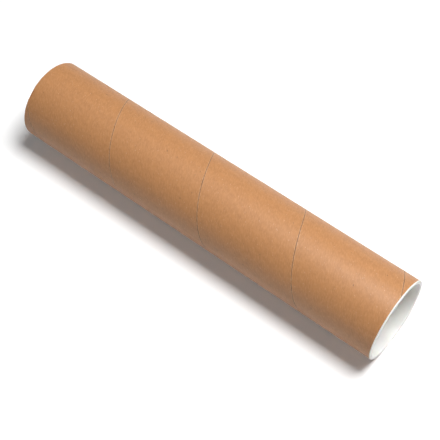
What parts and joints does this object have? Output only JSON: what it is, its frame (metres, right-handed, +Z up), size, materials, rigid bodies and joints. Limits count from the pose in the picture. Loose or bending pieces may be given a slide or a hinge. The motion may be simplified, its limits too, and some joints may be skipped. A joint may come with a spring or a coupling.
{
  "type": "mailing tube",
  "caption": "Spirally wound kraft board mailing tube with a white recessed plug cap in its upper end and an open lower end.",
  "frame": {"origin": "centre of the tube's open cut end, which is its foot", "axes": "+Z up along the tube towards the plug cap; -Y is the side that faces the viewer in the picture"},
  "size_m": [0.08, 0.08, 0.4011],
  "materials": {
    "kraft_board": "uncoated brown kraft paper, fibrous, matt",
    "white_plastic": "moulded white polyethylene, soft sheen"
  },
  "bodies": {
    "tube": {"mailing_tube": "kraft_board"},
    "cap": {"plug_cap": "white_plastic"}
  },
  "joints": [
    {"name": "cap_lift", "type": "slide", "parent": "tube", "child": "cap", "axis": [0, 0, 1], "range_m": [0, 0.05]}
  ]
}
